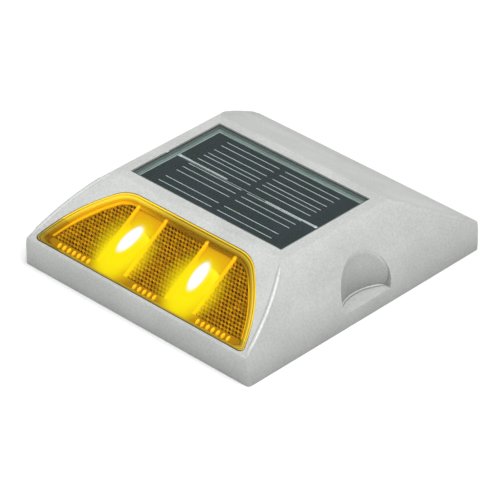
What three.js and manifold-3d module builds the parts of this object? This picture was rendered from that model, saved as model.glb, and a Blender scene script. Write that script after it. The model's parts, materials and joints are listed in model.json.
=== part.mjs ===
// Solar raised pavement marker: a die-cast aluminium shell with one amber lens, two LEDs and a
// solar panel, closed underneath by a screwed base plate.
// Millimetres. X runs across the lens face, -Y faces the traffic, +Z is up.
// The origin is the centre of the underside.
import * as THREE from "three";
import { mergeVertices } from "three/addons/utils/BufferGeometryUtils.js";
import Module from "manifold-3d";

const wasm = await Module();
wasm.setup();

// ---- driving dimensions -------------------------------------------------------------------

const GAP = 0.12; // free space between two pieces that are bonded or rest on each other

const body = {
  width: 100,
  length: 107.5,
  height: 27.7,
  skirt: 10, // height of the upright front and rear faces
  topFront: -25.8, // where the flat top ends, towards the traffic
  topRear: 22.8,
  sideRadius: 35.1, // the flanks are arcs of this radius, upright below sideFoot
  sideFoot: 0.8,
  cornerRadius: 1.3,
  wall: 3,
  ceiling: 20.5, // underside of the flat top
};

// The finger notch in each flank: a round arch cut inwards, closed by a curved back wall.
const notch = { y: 0.6, half: 11.3, archHeight: 9.6, floor: 5.2, back: 43.5, backRadius: 17 };

// The shell's wall round each notch follows an upright cylinder.
const relief = { x: 54.7, radius: 13.9 };

const panel = {
  y: -1.5,
  width: 66.6, // pocket in the flat top
  length: 40.9,
  ledge: 24.6, // height of the ledge that carries the stack
  throughWidth: 54,
  throughLength: 27, // the rear edge stays clear of the foam pad
  throughY: -4.5,
  board: 1.25,
  cell: 0.25,
  cellMargin: 2,
  cellRearMargin: 2.6,
  cellSplitY: -2.9, // the line between the two rows of cells
  cellSplit: 0.5,
  ribbon: 0.15,
  ribbonWidth: 0.9,
  ribbonInner: 9, // the ribbons stop this far from the middle
  ribbonEnd: 0.2,
  ribbonStagger: 0.45, // the left ribbon lies this far behind the split and the right one before it
  spacer: 0.35,
  spacerWidth: 1.9,
  window: 1,
  windowDrop: 0.3, // the window sits this far below the rim
  bead: 0.5, // width of the black sealing bead round the window
  beadDrop: 0.2,
};

// Lens outline in the plane of the front slope: half widths, and distances down the slope.
const lens = {
  top: 3,
  bottom: 32,
  topHalf: 22,
  topCornerHalf: 28.3,
  shoulder: [32, 7.6],
  flank: [41.6, 17.1],
  foot: [45.9, 29.9],
  bottomHalf: 43.6,
  bottomCornerHalf: 46.6,
  drop: 0.15, // the cover sits this far below the slope
  cover: 1.3,
  pocket: 5, // depth of the ledge that the insert rests on
  ledge: 2, // width of that ledge
  ledgeThickness: 2.2,
  seal: 0.25,
  sealGap: 0.08,
  sealDrop: 0.3, // the seal's top lies this far below the slope
};

const led = {
  x: 15.2,
  down: 12.7, // distance of the rear face down the slope
  depth: 5.4, // depth of the rear face below the slope
  rise: THREE.MathUtils.degToRad(10), // the beam leaves the slope at this angle
  splay: THREE.MathUtils.degToRad(6),
  radius: 2.4,
  flangeRadius: 2.7,
  flange: 1,
  length: 8.6,
  leadPitch: 2.54,
  lead: 0.5,
  leadDropY: -29.2,
};

// The wells round the LEDs: openings in the insert, carried on by an open cup behind it.
const well = { half: 5.5, top: 12, bottom: 27.5, depth: 8.7, wall: 0.8, leadSlot: 2.1 };


const board = { width: 71, front: -31.2, rear: 4.6, bottom: 8, thickness: 1.6, hole: 1.1 };

// What stands on the board: name, place and size (boxes: width, length, height).
const chips = [
  { name: "controller_chip", at: [-4, -20], size: [5, 6, 1.6], look: "blackPlastic" },
  { name: "charge_diode", at: [8, -8], size: [4.4, 2.6, 2.1], look: "blackPlastic" },
  { name: "led_driver_transistor", at: [6, -22], size: [3, 2.4, 1.1], look: "blackPlastic" },
  { name: "resistor_left", at: [-12, -25], size: [3.2, 1.6, 0.6], look: "ceramic" },
  { name: "resistor_right", at: [15, -24], size: [3.2, 1.6, 0.6], look: "ceramic" },
];
const connector = { at: [-22, -3.2], size: [8, 6, 6], contactX: 1.5, contactHeight: 4.3 };
const inductor = { at: [-14, -13], radius: 3.6, height: 5 };
const capacitor = { at: [20, -4], radius: 3.15, height: 8 };

const pcbScrew = {
  headRadius: 1.9,
  head: 1.3,
  radius: 0.75,
  reach: 4.5, // past the top of the board
  slot: 0.5,
  slotDepth: 0.5,
  play: 0.02,
};
const posts = { x: 32, ys: [-18, 0], radius: 3, pilot: 0.85, pilotDepth: 6 };

const base = {
  width: 93.2,
  length: 100.6,
  thickness: 2,
  gasket: 0.6,
  ledge: 2.4,
  cornerRadius: 3,
  grooveWidth: 2.2,
  grooveDepth: 0.5,
  pads: 7,
  screwX: 40.5,
  screwY: 43.5,
  bossRadius: 4,
  bossTop: 7.8,
  screwHole: 1.4,
  pilot: 1.15,
  pilotEnd: 0.8, // solid metal left at the top of each boss
  keyHalf: [34, 36], // the keyed field of the underside
  play: 0.03,
  gasketWidth: 1.6,
  gasketEdge: 0.5,
};

const baseScrew = {
  bottom: 0.1,
  headRadius: 2.4,
  head: 1.4,
  radius: 1,
  tipGap: 1.4,
  recess: 0.6, // depth of the cross in the head
  cross: [1.4, 0.3],
};

const powerSwitch = {
  x: 18,
  y: -12,
  body: [8.6, 4, 3.5],
  knob: [2, 2],
  travel: 2,
  knobTip: 0.7, // height of the knob's tip above the road
  slotPlay: 0.35,
  recess: [6, 4, 0.9], // half width, half length and depth of the thumb recess
};

const battery = {
  y: 14.2,
  z: 10.7,
  radius: 7,
  length: 48,
  wrap: 0.3,
  wrapGap: 0.05,
  wrapEnd: 0.5, // the sleeve stops this far short of each end
  capRadius: 2.6,
  cap: 1.4,
  washer: 0.5,
  tab: [0.25, 5, 8], // thickness, width and height
  tabBelow: 2, // how far the tabs reach below the axis
};

const cradle = { half: [19, 9], play: 0.2, lip: 1.5, gap: 0.05 };
const foam = { halfWidth: 14, front: 3, rear: 5, gap: 0.15 };
const wireRadius = 0.65;

const slopeAngle = Math.atan2(body.height - body.skirt, body.length / 2 + body.topFront);
const rearAngle = Math.atan2(body.height - body.skirt, body.length / 2 - body.topRear);

// ---- materials ----------------------------------------------------------------------------

const material = (color, roughness, metalness = 0, opacity = 1) =>
  new THREE.MeshStandardMaterial({ color, roughness, metalness, opacity, transparent: opacity < 1 });

const materials = {
  castAluminium: material(0xc9cbc8, 0.55, 0.6),
  clearPlastic: material(0xe6eceb, 0.08, 0, 0.3),
  amberPlastic: material(0xe69a06, 0.12, 0, 0.75),
  amberInsert: material(0xc47d08, 0.3),
  blackRubber: material(0x14171a, 0.7),
  greySpacer: material(0x7c8783, 0.7),
  panelBoard: material(0xaab2b0, 0.6),
  silicon: material(0x3b4648, 0.25, 0.2),
  ribbon: material(0xdfe5e5, 0.3, 0.8),
  ledEpoxy: material(0xfff2b0, 0.1),
  leadMetal: material(0xc8c8c4, 0.3, 0.9),
  greenBoard: material(0x1f5c34, 0.45),
  blackPlastic: material(0x1b1c1e, 0.5),
  ferrite: material(0x3c3a38, 0.7),
  canMetal: material(0xb9bcbf, 0.3, 0.9),
  ceramic: material(0xb49a78, 0.5),
  whitePlastic: material(0xe4e2da, 0.45),
  batteryWrap: material(0x2f7a4a, 0.35),
  cradlePlastic: material(0x2a2c2f, 0.5),
  foam: material(0x3a3b3d, 0.95),
  redWire: material(0xb3201c, 0.45),
  blackWire: material(0x151515, 0.45),
  steel: material(0xb4b7ba, 0.35, 0.9),
};

// ---- helpers ------------------------------------------------------------------------------

function toSolid(geometry) {
  const bare = geometry.clone();
  for (const name of Object.keys(bare.attributes)) if (name !== "position") bare.deleteAttribute(name);
  const merged = mergeVertices(bare, 1e-4);
  return new wasm.Manifold(
    new wasm.Mesh({
      numProp: 3,
      vertProperties: new Float32Array(merged.attributes.position.array),
      triVerts: new Uint32Array(merged.index.array),
    }),
  );
}

function toGeometry(solid) {
  const mesh = solid.getMesh();
  const geometry = new THREE.BufferGeometry();
  geometry.setAttribute("position", new THREE.BufferAttribute(new Float32Array(mesh.vertProperties), 3));
  geometry.setIndex(new THREE.BufferAttribute(new Uint32Array(mesh.triVerts), 1));
  geometry.computeVertexNormals();
  return geometry;
}

const cut = (solid, ...tools) => tools.reduce((rest, tool) => rest.subtract(tool), solid);
const join = (solid, ...others) => others.reduce((whole, other) => whole.add(other), solid);

// A box given by its lowest and highest corners.
function boxGeometry(low, high) {
  const size = high.map((value, i) => value - low[i]);
  const middle = high.map((value, i) => (value + low[i]) / 2);
  return new THREE.BoxGeometry(...size).translate(...middle);
}
const boxSolid = (low, high) => toSolid(boxGeometry(low, high));

// A cylinder along Z between two heights.
function rodGeometry(x, y, z0, z1, radius, segments = 24, topRadius = radius) {
  return new THREE.CylinderGeometry(topRadius, radius, z1 - z0, segments)
    .rotateX(Math.PI / 2)
    .translate(x, y, (z0 + z1) / 2);
}
const rodSolid = (...values) => toSolid(rodGeometry(...values));

function extrude(shape, depth, curveSegments = 12) {
  return new THREE.ExtrudeGeometry(shape, { depth, bevelEnabled: false, curveSegments });
}

// A profile drawn in (x, z), extruded along Y between two values.
const extrudeAlongY = (shape, y0, y1, segments) =>
  extrude(shape, y1 - y0, segments)
    .rotateX(Math.PI / 2)
    .translate(0, y1, 0);

// A profile drawn in (y, z), extruded along X between two values.
function extrudeAlongX(shape, x0, x1, segments) {
  const turn = new THREE.Matrix4().makeBasis(
    new THREE.Vector3(0, 1, 0),
    new THREE.Vector3(0, 0, 1),
    new THREE.Vector3(1, 0, 0),
  );
  return extrude(shape, x1 - x0, segments)
    .applyMatrix4(turn)
    .translate(x0, 0, 0);
}

const polygon = (points) => new THREE.Shape(points.map(([x, y]) => new THREE.Vector2(x, y)));

function roundedRectangle(halfWidth, halfLength, radius) {
  const shape = new THREE.Shape();
  shape.absarc(halfWidth - radius, halfLength - radius, radius, 0, Math.PI / 2);
  shape.absarc(radius - halfWidth, halfLength - radius, radius, Math.PI / 2, Math.PI);
  shape.absarc(radius - halfWidth, radius - halfLength, radius, Math.PI, 1.5 * Math.PI);
  shape.absarc(halfWidth - radius, radius - halfLength, radius, 1.5 * Math.PI, 2 * Math.PI);
  return shape;
}

const plate = (halfWidth, halfLength, radius, z0, z1, segments = 5) =>
  toSolid(extrude(roundedRectangle(halfWidth, halfLength, radius), z1 - z0, segments).translate(0, 0, z0));

// A frame with square corners, centred on (0, y).
function frameSolid(halfWidth, halfLength, rim, y, z0, z1) {
  const outer = boxSolid([-halfWidth, y - halfLength, z0], [halfWidth, y + halfLength, z1]);
  const inner = boxSolid(
    [rim - halfWidth, y - halfLength + rim, z0 - 1],
    [halfWidth - rim, y + halfLength - rim, z1 + 1],
  );
  return cut(outer, inner);
}

function wire(points, radius, steps = 22) {
  const path = new THREE.CatmullRomCurve3(points.map((p) => new THREE.Vector3(...p)));
  const section = new THREE.Shape().absarc(0, 0, radius, 0, 2 * Math.PI);
  return new THREE.ExtrudeGeometry(section, {
    extrudePath: path,
    steps,
    bevelEnabled: false,
    curveSegments: 8,
  });
}

const root = new THREE.Group();

// The slope group's own frame: X across, Y up the slope, Z out of it, origin on the front crease.
const slope = new THREE.Group();
slope.position.set(0, body.topFront, body.height);
slope.rotation.x = slopeAngle;
slope.updateMatrix();
root.add(slope);

function add(name, shape, look, parent = root) {
  const geometry = shape.isBufferGeometry ? shape : toGeometry(shape);
  const mesh = new THREE.Mesh(geometry, look);
  mesh.name = name;
  parent.add(mesh);
  return mesh;
}

// ---- outlines -----------------------------------------------------------------------------

// Cross-section of the body over X, its flanks moved in by inset and its top at height top.
function flankProfile(inset, top) {
  const radius = body.sideRadius - inset;
  const centre = body.width / 2 - body.sideRadius;
  const end = Math.asin((top - body.sideFoot) / radius);
  const shape = new THREE.Shape();
  shape.moveTo(-centre - radius, -1);
  shape.lineTo(centre + radius, -1);
  shape.absarc(centre, body.sideFoot, radius, 0, end);
  shape.absarc(-centre, body.sideFoot, radius, Math.PI - end, Math.PI);
  return shape;
}

// The lens outline, moved in by inset, in the slope group's frame.
function lensOutline(inset) {
  const bottom = -lens.bottom + inset;
  const top = -lens.top - inset;
  const inward = ([x, down]) => [x - inset, -down];
  const [shoulder, flank, foot] = [lens.shoulder, lens.flank, lens.foot].map(inward);
  const shape = new THREE.Shape();
  shape.moveTo(-lens.bottomHalf, bottom);
  shape.lineTo(lens.bottomHalf, bottom);
  shape.quadraticCurveTo(lens.bottomCornerHalf - inset, bottom, ...foot);
  shape.quadraticCurveTo(...flank, ...shoulder);
  shape.quadraticCurveTo(lens.topCornerHalf - inset, top, lens.topHalf, top);
  shape.lineTo(-lens.topHalf, top);
  shape.quadraticCurveTo(inset - lens.topCornerHalf, top, -shoulder[0], shoulder[1]);
  shape.quadraticCurveTo(-flank[0], flank[1], -foot[0], foot[1]);
  shape.quadraticCurveTo(inset - lens.bottomCornerHalf, bottom, -lens.bottomHalf, bottom);
  return shape;
}

// A slab of the lens outline between two depths below the slope.
const lensSlab = (inset, upper, lower) =>
  toSolid(extrude(lensOutline(inset), lower - upper, 9).translate(0, 0, -lower));

const onSlope = (solid) => toSolid(toGeometry(solid).applyMatrix4(slope.matrix));

// Places on the slope: [y, z] of a point that far down the slope and that far below it.
const slopePoint = (down, depth) => [
  body.topFront - down * Math.cos(slopeAngle) + depth * Math.sin(slopeAngle),
  body.height - down * Math.sin(slopeAngle) - depth * Math.cos(slopeAngle),
];

// The pair of cylinders that keep the inside clear of the notches.
const reliefRods = (extra, z0, z1) =>
  [-1, 1].map((side) => rodSolid(side * relief.x, notch.y, z0, z1, relief.radius + extra, 32));

const corners = (x, y) => [-1, 1].flatMap((sy) => [-1, 1].map((sx) => [sx * x, sy * y]));
const screwPlaces = corners(base.screwX, base.screwY);
const postPlaces = posts.ys.flatMap((y) => [-posts.x, posts.x].map((x) => [x, y]));

// ---- housing ------------------------------------------------------------------------------

function outerBody() {
  const half = body.length / 2;
  const acrossProfile = toSolid(extrudeAlongY(flankProfile(0, body.height), -half, half, 24));
  const alongProfile = toSolid(
    extrudeAlongX(
      polygon([
        [-half, 0],
        [half, 0],
        [half, body.skirt],
        [body.topRear, body.height],
        [body.topFront, body.height],
        [-half, body.skirt],
      ]),
      -body.width,
      body.width,
    ),
  );
  const plan = plate(body.width / 2, half, body.cornerRadius, 0, body.height);
  return acrossProfile.intersect(alongProfile).intersect(plan);
}

function notchSolid(side) {
  const outside = body.width;
  const centre = notch.back + notch.backRadius;
  const spread = Math.asin(notch.half / notch.backRadius);
  const plan = new THREE.Shape();
  plan.absarc(centre, 0, notch.backRadius, Math.PI - spread, Math.PI + spread);
  plan.lineTo(outside, -notch.half);
  plan.lineTo(outside, notch.half);
  const column = extrude(plan, body.height, 20).translate(0, 0, notch.floor);
  const arch = new THREE.CylinderGeometry(notch.half, notch.half, outside, 64)
    .rotateZ(Math.PI / 2)
    .translate(outside / 2, 0, notch.archHeight);
  const place = (geometry) =>
    toSolid(geometry.rotateZ(side < 0 ? Math.PI : 0).translate(0, notch.y, 0));
  return place(column).intersect(place(arch));
}

// The electronics bay, open underneath, with its bosses and posts left standing.
function bay() {
  const half = body.length / 2 - body.wall;
  const underLens = lens.pocket + lens.ledgeThickness;
  const frontAt = (z) => {
    const [y0, z0] = slopePoint(0, underLens);
    return y0 - (z0 - z) / Math.tan(slopeAngle);
  };
  const rearAt = (z) =>
    body.topRear + (body.height - body.wall / Math.cos(rearAngle) - z) / Math.tan(rearAngle);
  const profile = polygon([
    [-half, -1],
    [half, -1],
    [half, body.height - body.wall / Math.cos(rearAngle) - (half - body.topRear) * Math.tan(rearAngle)],
    [rearAt(body.ceiling), body.ceiling],
    [frontAt(body.ceiling), body.ceiling],
    [-half, slopePoint(0, underLens)[1] - (half + slopePoint(0, underLens)[0]) * Math.tan(slopeAngle)],
  ]);
  const bayHalfWidth = base.width / 2 - base.ledge;
  const bayHalfLength = base.length / 2 - base.ledge;
  const space = toSolid(extrudeAlongX(profile, -bayHalfWidth, bayHalfWidth))
    .intersect(toSolid(extrudeAlongY(flankProfile(body.wall, body.ceiling), -half, half, 8)))
    .intersect(plate(bayHalfWidth, bayHalfLength, 1, -1, body.ceiling));
  const bosses = screwPlaces.map(([x, y]) => rodSolid(x, y, -1, base.bossTop, base.bossRadius, 20));
  const standoffs = postPlaces.map(([x, y]) =>
    rodSolid(x, y, board.bottom + board.thickness + GAP, body.height, posts.radius, 16),
  );
  return cut(space, ...reliefRods(base.ledge, -2, body.height), ...bosses, ...standoffs);
}

// The recess that takes the base plate and its gasket, relieved round the side notches.
function baseRecess() {
  const recess = plate(
    base.width / 2,
    base.length / 2,
    base.cornerRadius,
    -1,
    base.thickness + base.gasket,
  );
  return cut(recess, ...reliefRods(0, -2, body.height));
}

function housing() {
  const panelPocket = boxSolid(
    [-panel.width / 2, panel.y - panel.length / 2, panel.ledge],
    [panel.width / 2, panel.y + panel.length / 2, body.height + 1],
  );
  const panelThrough = boxSolid(
    [-panel.throughWidth / 2, panel.throughY - panel.throughLength / 2, body.ceiling - 1],
    [panel.throughWidth / 2, panel.throughY + panel.throughLength / 2, panel.ledge + 1],
  );
  const lensPocket = onSlope(lensSlab(0, -2, lens.pocket));
  const lensThrough = onSlope(lensSlab(lens.ledge, lens.pocket - 1, lens.pocket + lens.ledgeThickness + 0.2));
  const screwPilots = screwPlaces.map(([x, y]) =>
    rodSolid(x, y, -1, base.bossTop - base.pilotEnd, base.pilot, 14),
  );
  const postBottom = board.bottom + board.thickness;
  const postPilots = postPlaces.map(([x, y]) =>
    rodSolid(x, y, postBottom - 1, postBottom + posts.pilotDepth, posts.pilot, 12),
  );
  return cut(
    outerBody(),
    panelPocket,
    panelThrough,
    lensPocket,
    lensThrough,
    bay(),
    baseRecess(),
    ...[-1, 1].map(notchSolid),
    ...screwPilots,
    ...postPilots,
  );
}

// ---- solar panel stack --------------------------------------------------------------------

function addPanelStack() {
  const halfWidth = panel.width / 2 - GAP;
  const halfLength = panel.length / 2 - GAP;
  const boardTop = panel.ledge + panel.board;
  const cellTop = boardTop + panel.cell;
  const windowBottom = body.height - panel.windowDrop - panel.window;
  const windowTop = body.height - panel.windowDrop;

  const stackPlate = (inset, z0, z1) =>
    boxGeometry([inset - halfWidth, panel.y - halfLength + inset, z0], [
      halfWidth - inset,
      panel.y + halfLength - inset,
      z1,
    ]);
  add("panel_board", stackPlate(0, panel.ledge, boardTop), materials.panelBoard);

  const cellHalf = panel.width / 2 - panel.cellMargin;
  const cellFront = panel.y - panel.length / 2 + panel.cellMargin;
  const cellRear = panel.y + panel.length / 2 - panel.cellRearMargin;
  const strip = (y0, y1) => boxGeometry([-cellHalf, y0, boardTop], [cellHalf, y1, cellTop]);
  add("solar_cell_front", strip(cellFront, panel.cellSplitY - panel.cellSplit / 2), materials.silicon);
  add("solar_cell_rear", strip(panel.cellSplitY + panel.cellSplit / 2, cellRear), materials.silicon);

  const ribbonEnd = cellHalf - panel.ribbonEnd;
  const ribbon = (x0, x1, y) =>
    boxGeometry([x0, y - panel.ribbonWidth / 2, cellTop], [
      x1,
      y + panel.ribbonWidth / 2,
      cellTop + panel.ribbon,
    ]);
  const rearY = panel.cellSplitY + panel.ribbonStagger;
  const frontY = panel.cellSplitY - panel.ribbonStagger;
  add("cell_ribbon_left", ribbon(-ribbonEnd, -panel.ribbonInner, rearY), materials.ribbon);
  add("cell_ribbon_right", ribbon(panel.ribbonInner, ribbonEnd, frontY), materials.ribbon);

  const spacer = frameSolid(
    halfWidth,
    halfLength,
    panel.spacerWidth - GAP,
    panel.y,
    boardTop,
    boardTop + panel.spacer,
  );
  add("panel_spacer", spacer, materials.greySpacer);

  const bead = frameSolid(
    halfWidth,
    halfLength,
    panel.bead,
    panel.y,
    windowBottom,
    windowTop - panel.beadDrop,
  );
  const windowInset = panel.bead + GAP / 2;
  add("window_seal", bead, materials.blackRubber);
  add("panel_window", stackPlate(windowInset, windowBottom, windowTop), materials.clearPlastic);
}

// ---- lens, reflector insert and LEDs ------------------------------------------------------

function addLens() {
  const coverBack = lens.drop + lens.cover;
  const edge = lens.seal + 2 * lens.sealGap;
  add("lens_cover", lensSlab(edge, lens.drop, coverBack), materials.amberPlastic, slope);

  const openings = [-1, 1].map((side) => wellSolid(side * led.x, 0, 0, lens.pocket + 1));
  const insert = cut(lensSlab(edge, coverBack + GAP, lens.pocket - GAP), ...openings);
  add("reflector_insert", insert, materials.amberInsert, slope);

  const seal = cut(
    lensSlab(lens.sealGap, lens.sealDrop, lens.pocket - GAP),
    lensSlab(lens.sealGap + lens.seal, lens.sealDrop - 1, lens.pocket + 1),
  );
  add("lens_seal", seal, materials.blackRubber, slope);
}

// A block the size of an LED well, grown by extra on its four sides, between two depths.
const wellSolid = (x, extra, upper, lower) =>
  boxSolid([x - well.half - extra, -well.bottom - extra, -lower], [
    x + well.half + extra,
    extra - well.top,
    -upper,
  ]);

function ledCup(x) {
  const outer = wellSolid(x, well.wall, lens.pocket, well.depth + well.wall);
  const leadSlot = boxSolid([x - well.leadSlot, -well.top - 1, -lens.pocket - 2.6], [
    x + well.leadSlot,
    2 - well.top,
    0,
  ]);
  return cut(outer, wellSolid(x, 0, 0, well.depth), leadSlot);
}

// Carries an LED from its own frame (axis +Y, rear face at the origin) to its place on the slope.
function ledMatrix(x) {
  const turn = new THREE.Matrix4()
    .makeRotationX(-led.rise)
    .multiply(new THREE.Matrix4().makeRotationZ(Math.PI + Math.sign(x) * led.splay));
  return new THREE.Matrix4().makeTranslation(x, -led.down, -led.depth).multiply(turn);
}

function ledGeometry() {
  const dome = led.length - led.radius;
  const profile = [
    new THREE.Vector2(0, 0),
    new THREE.Vector2(led.flangeRadius, 0),
    new THREE.Vector2(led.flangeRadius, led.flange),
    new THREE.Vector2(led.radius, led.flange),
  ];
  const domeSteps = 6;
  for (let i = 0; i <= domeSteps; i++) {
    const angle = (i / domeSteps) * (Math.PI / 2);
    const radius = i === domeSteps ? 0 : led.radius * Math.cos(angle);
    profile.push(new THREE.Vector2(radius, dome + led.radius * Math.sin(angle)));
  }
  return new THREE.LatheGeometry(profile, 20);
}

// A lead runs back from the LED in line with it, then straight down to the board.
function leadGeometry(x) {
  const pitch = slopeAngle - led.rise;
  const [y, z] = slopePoint(led.down, led.depth);
  const rear = [y + 0.35, z + 0.35 * Math.tan(pitch) - led.lead / 2];
  const foot = board.bottom + board.thickness + GAP;
  const bendZ = rear[1] + (led.leadDropY - rear[0]) * Math.tan(pitch);
  const bend = polygon([
    rear,
    [led.leadDropY - led.lead, bendZ - led.lead * Math.tan(pitch)],
    [led.leadDropY - led.lead, foot],
    [led.leadDropY, foot],
    [led.leadDropY, bendZ + led.lead],
    [rear[0], rear[1] + led.lead],
  ]);
  return extrudeAlongX(bend, x - led.lead / 2, x + led.lead / 2);
}

function addLeds() {
  for (const [name, side] of [
    ["left", -1],
    ["right", 1],
  ]) {
    const x = side * led.x;
    const lamp = add("led_" + name, ledGeometry(), materials.ledEpoxy, slope);
    lamp.applyMatrix4(ledMatrix(x));
    add("led_cup_" + name, ledCup(x), materials.amberInsert, slope);
    add("led_" + name + "_anode", leadGeometry(x - led.leadPitch / 2), materials.leadMetal);
    add("led_" + name + "_cathode", leadGeometry(x + led.leadPitch / 2), materials.leadMetal);
  }
}

// ---- circuit board ------------------------------------------------------------------------

function addCircuitBoard() {
  const top = board.bottom + board.thickness;
  const blank = boxSolid([-board.width / 2, board.front, board.bottom], [board.width / 2, board.rear, top]);
  const holes = postPlaces.map(([x, y]) => rodSolid(x, y, board.bottom - 1, top + 1, board.hole, 16));
  add("circuit_board", cut(blank, ...holes), materials.greenBoard);

  const standing = ([x, y], [width, length, height]) =>
    boxGeometry([x - width / 2, y - length / 2, top], [x + width / 2, y + length / 2, top + height]);
  for (const { name, at, size, look } of chips) add(name, standing(at, size), materials[look]);
  add("battery_connector", standing(connector.at, connector.size), materials.whitePlastic);

  const can = ({ at, radius, height }) => rodGeometry(...at, top, top + height, radius);
  add("boost_inductor", can(inductor), materials.ferrite);
  add("smoothing_capacitor", can(capacitor), materials.canMetal);
}

function addPcbScrews() {
  const headTop = board.bottom - pcbScrew.play;
  const headBottom = headTop - pcbScrew.head;
  const tip = board.bottom + board.thickness + pcbScrew.reach;
  postPlaces.forEach(([x, y], i) => {
    const head = rodSolid(x, y, headBottom, headTop, pcbScrew.headRadius, 18);
    const shank = rodSolid(x, y, headTop - pcbScrew.head / 2, tip, pcbScrew.radius, 12);
    const slotCut = boxSolid([x - pcbScrew.headRadius - 1, y - pcbScrew.slot / 2, headBottom - 1], [
      x + pcbScrew.headRadius + 1,
      y + pcbScrew.slot / 2,
      headBottom + pcbScrew.slotDepth,
    ]);
    add("pcb_screw_" + (i + 1), cut(join(head, shank), slotCut), materials.steel);
  });
}

function addSwitch() {
  const { x, y } = powerSwitch;
  const [width, length, height] = powerSwitch.body;
  const underside = board.bottom - height;
  add(
    "switch_body",
    boxGeometry([x - width / 2, y - length / 2, underside], [x + width / 2, y + length / 2, board.bottom]),
    materials.blackPlastic,
  );
  const [knobWidth, knobLength] = powerSwitch.knob;
  const left = x - powerSwitch.travel / 2;
  add(
    "switch_knob",
    boxGeometry([left - knobWidth / 2, y - knobLength / 2, powerSwitch.knobTip], [
      left + knobWidth / 2,
      y + knobLength / 2,
      underside - 0.05,
    ]),
    materials.whitePlastic,
  );
}

// ---- battery ------------------------------------------------------------------------------

function addBattery() {
  const { y, z, radius, length } = battery;
  const alongX = (geometry, x) => geometry.rotateZ(Math.PI / 2).translate(x, y, z);
  const cylinder = (r, l, x, segments = 28) => alongX(new THREE.CylinderGeometry(r, r, l, segments), x);
  add("battery_cell", cylinder(radius, length, 0), materials.canMetal);

  const wrapInner = radius + battery.wrapGap;
  const wrap = cut(
    toSolid(cylinder(wrapInner + battery.wrap, length - 2 * battery.wrapEnd, 0)),
    toSolid(cylinder(wrapInner, length + 2, 0)),
  );
  add("battery_wrap", wrap, materials.batteryWrap);

  const rightEnd = length / 2;
  add(
    "battery_positive_cap",
    cylinder(battery.capRadius, battery.cap, rightEnd + battery.cap / 2, 20),
    materials.steel,
  );
  const washer = cut(
    toSolid(cylinder(0.9 * radius, battery.washer, rightEnd + battery.washer / 2)),
    toSolid(cylinder(1.1 * battery.capRadius, 3, rightEnd)),
  );
  add("battery_insulator", washer, materials.whitePlastic);

  const [tabThickness, tabWidth, tabHeight] = battery.tab;
  const tabBottom = z - battery.tabBelow;
  const tab = (x0) =>
    boxGeometry([x0, y - tabWidth / 2, tabBottom], [
      x0 + tabThickness,
      y + tabWidth / 2,
      tabBottom + tabHeight,
    ]);
  add("battery_tab_positive", tab(rightEnd + battery.cap), materials.leadMetal);
  add("battery_tab_negative", tab(-rightEnd - tabThickness), materials.leadMetal);
}

// The saddle that the battery lies in, standing on the base plate, and the foam pad above it.
function addBatterySupports() {
  const outer = battery.radius + battery.wrap + cradle.play;
  const [halfWidth, halfLength] = cradle.half;
  const groove = toSolid(
    new THREE.CylinderGeometry(outer, outer, 4 * halfWidth, 32)
      .rotateZ(Math.PI / 2)
      .translate(0, battery.y, battery.z),
  );
  const saddle = boxSolid([-halfWidth, battery.y - halfLength, base.thickness + cradle.gap], [
    halfWidth,
    battery.y + halfLength,
    battery.z - cradle.lip,
  ]);
  add("battery_cradle", cut(saddle, groove), materials.cradlePlastic);
  const foamBottom = battery.z + battery.radius + battery.wrap + foam.gap;
  add(
    "foam_pad",
    boxGeometry([-foam.halfWidth, battery.y - foam.front, foamBottom], [
      foam.halfWidth,
      battery.y + foam.rear,
      body.ceiling - cradle.gap,
    ]),
    materials.foam,
  );
}

function addWires() {
  const boardTop = board.bottom + board.thickness + GAP;
  const underPanel = panel.ledge - GAP;
  const panelWire = (name, x, look) =>
    add(
      name,
      wire(
        [
          [x, 2, underPanel],
          [x, 1.6, underPanel - 3.5],
          [x - 2, -3, 16],
          [x - 1, -8, 13],
          [x, -9.5, boardTop + 1.5],
          [x, -9.5, boardTop],
        ],
        wireRadius,
      ),
      look,
    );
  panelWire("panel_wire_positive", 0, materials.redWire);
  panelWire("panel_wire_negative", -4, materials.blackWire);

  const [connectorX, connectorY] = connector.at;
  const plugY = connectorY + connector.size[1] / 2 + GAP;
  const plugZ = boardTop + connector.contactHeight;
  const plugX = [connectorX - connector.contactX, connectorX + connector.contactX];
  const tabTop = battery.z + 4.5;
  const tabGap = GAP + battery.tab[0];
  const cellEnd = battery.length / 2;
  add(
    "battery_wire_negative",
    wire(
      [
        [plugX[0], plugY, plugZ],
        [plugX[0], plugY + 2.5, plugZ + 0.2],
        [-27, plugY + 5.5, plugZ + 0.6],
        [-28.5, battery.y - 3, tabTop],
        [-27, battery.y, tabTop],
        [-cellEnd - tabGap, battery.y, tabTop],
      ],
      wireRadius,
    ),
    materials.blackWire,
  );
  const tabX = cellEnd + battery.cap + tabGap;
  add(
    "battery_wire_positive",
    wire(
      [
        [plugX[1], plugY, plugZ],
        [plugX[1], plugY + 2, plugZ + 0.3],
        [-16, plugY + 4, plugZ + 1.4],
        [0, plugY + 4.4, plugZ + 1.6],
        [18, plugY + 4.4, plugZ + 1.4],
        [26, plugY + 7, plugZ + 0.8],
        [29.4, battery.y - 3, tabTop],
        [29, battery.y, tabTop],
        [tabX, battery.y, tabTop],
      ],
      wireRadius,
      30,
    ),
    materials.redWire,
  );
}

// ---- base plate ---------------------------------------------------------------------------

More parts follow.
